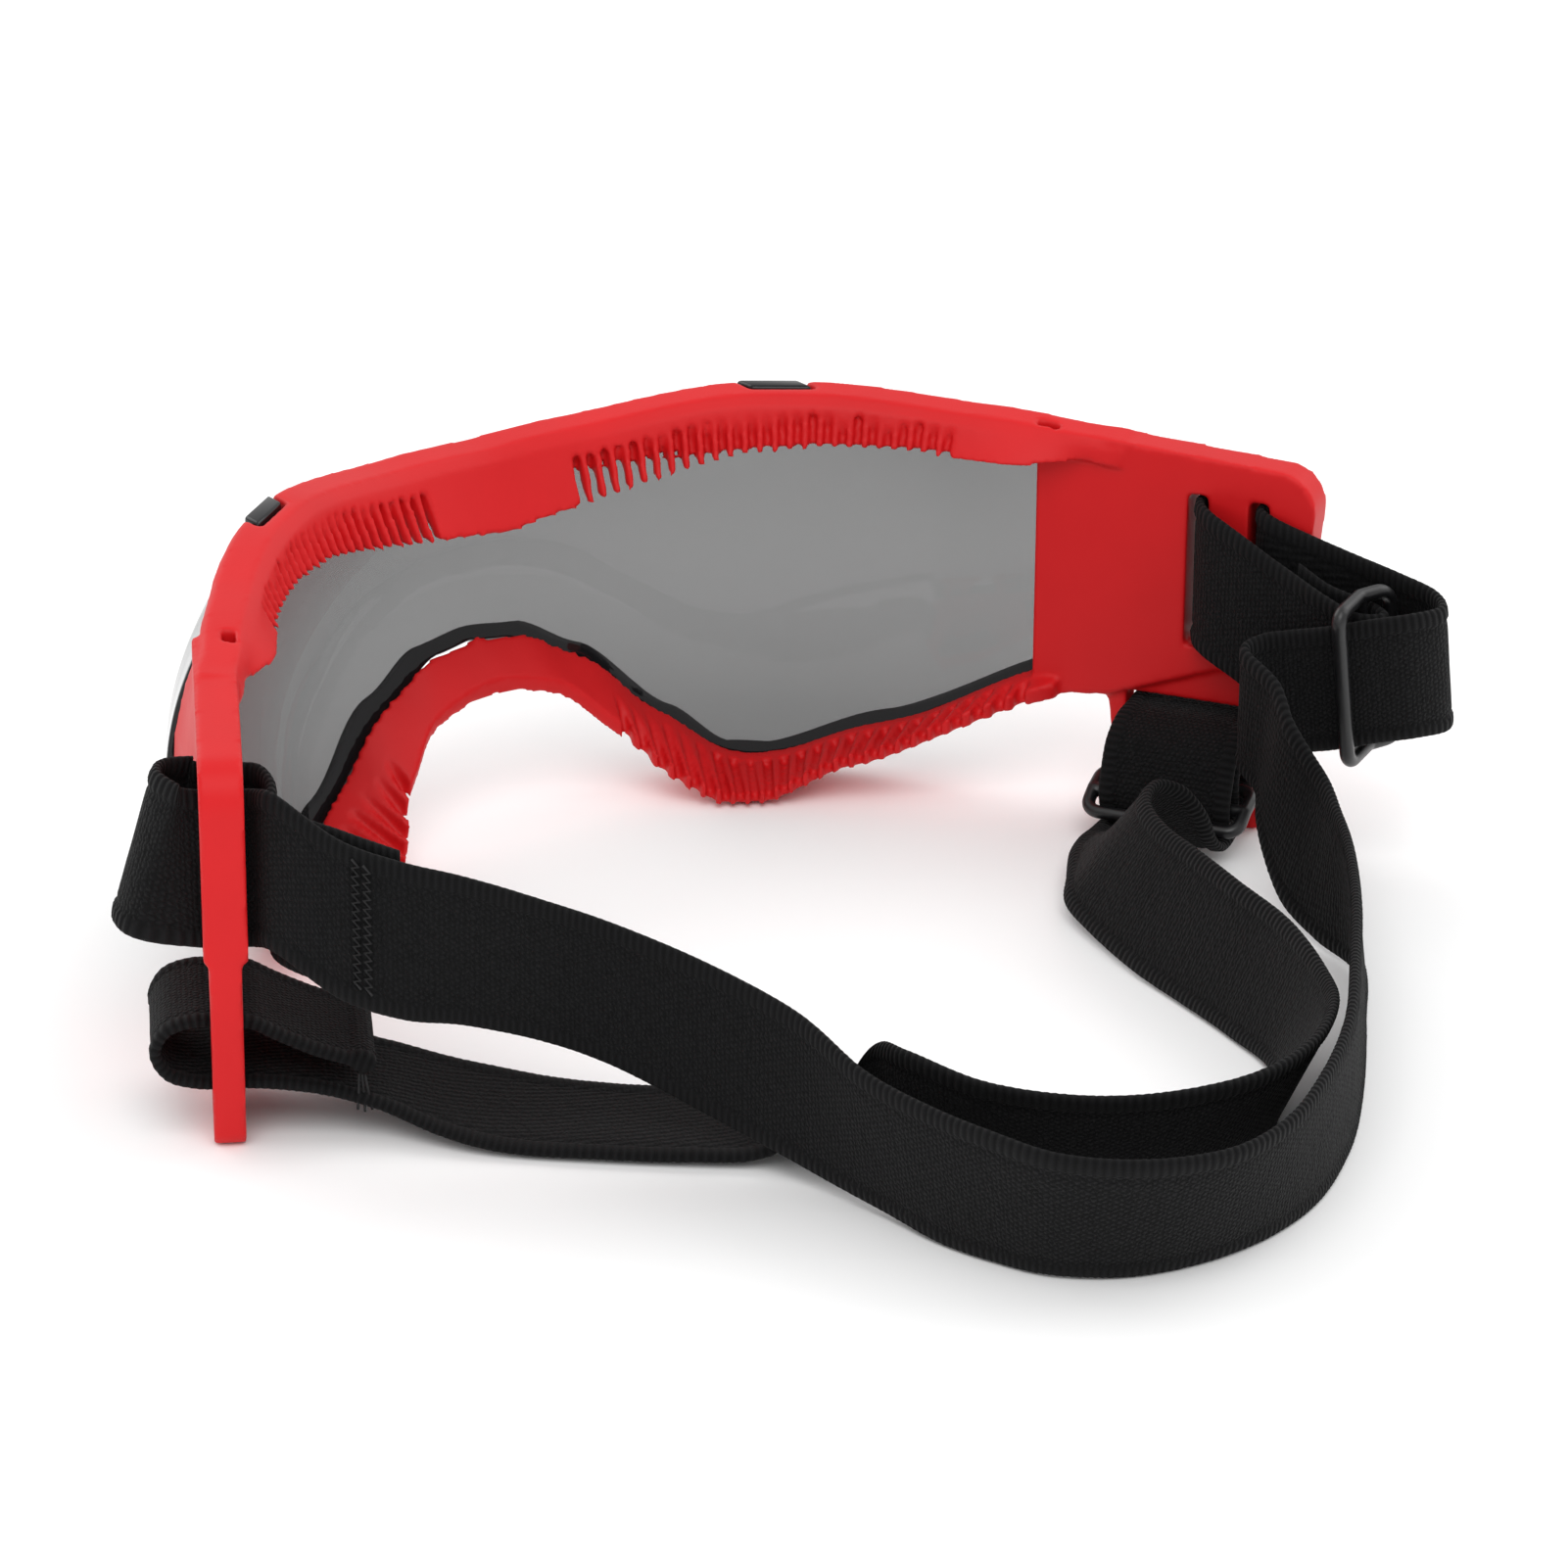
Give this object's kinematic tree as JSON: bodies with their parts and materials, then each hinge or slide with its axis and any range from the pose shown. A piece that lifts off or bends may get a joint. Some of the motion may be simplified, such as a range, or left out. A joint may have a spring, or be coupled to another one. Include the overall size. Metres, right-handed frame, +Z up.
{
  "type": "wraparound goggles",
  "caption": "Wraparound goggles with a one-piece tinted lens, a soft toothed frame with side arms, an elastic head strap and a chin strap, each with a sliding adjuster.",
  "frame": {"origin": "middle of the object on the floor plane: x = 0 is the symmetry plane of the frame and lens, z = 0 is the floor under the ear tips and straps", "axes": "+Z up, the lens faces -Y, +X towards the wearer's left"},
  "size_m": [0.1832, 0.1709, 0.055],
  "materials": {
    "frame_rubber": "satin",
    "smoke_lens": "polished",
    "knit_elastic": "matte",
    "slider_plastic": "semi-gloss",
    "thread": "matte"
  },
  "bodies": {
    "frame": {"frame": "frame_rubber", "head_strap": "knit_elastic", "chin_strap": "knit_elastic", "head_tack_left": "thread", "head_tack_right": "thread", "chin_tack_left": "thread", "chin_tack_right": "thread"},
    "lens": {"lens": "smoke_lens"},
    "head_slider": {"head_slider": "slider_plastic"},
    "chin_slider": {"chin_slider": "slider_plastic"}
  },
  "joints": [
    {"name": "lens_pull", "type": "slide", "parent": "frame", "child": "lens", "axis": [0, -1, 0], "range_m": [0, 0.03]},
    {"name": "head_slider_slide", "type": "slide", "parent": "frame", "child": "head_slider", "axis": [0.5151, -0.8571, 0], "range_m": [-0.001, 0.004], "deforming": ["head_strap"]},
    {"name": "chin_slider_slide", "type": "slide", "parent": "frame", "child": "chin_slider", "axis": [-0.8571, -0.5151, 0], "range_m": [-0.002, 0.002], "deforming": ["chin_strap"]}
  ]
}
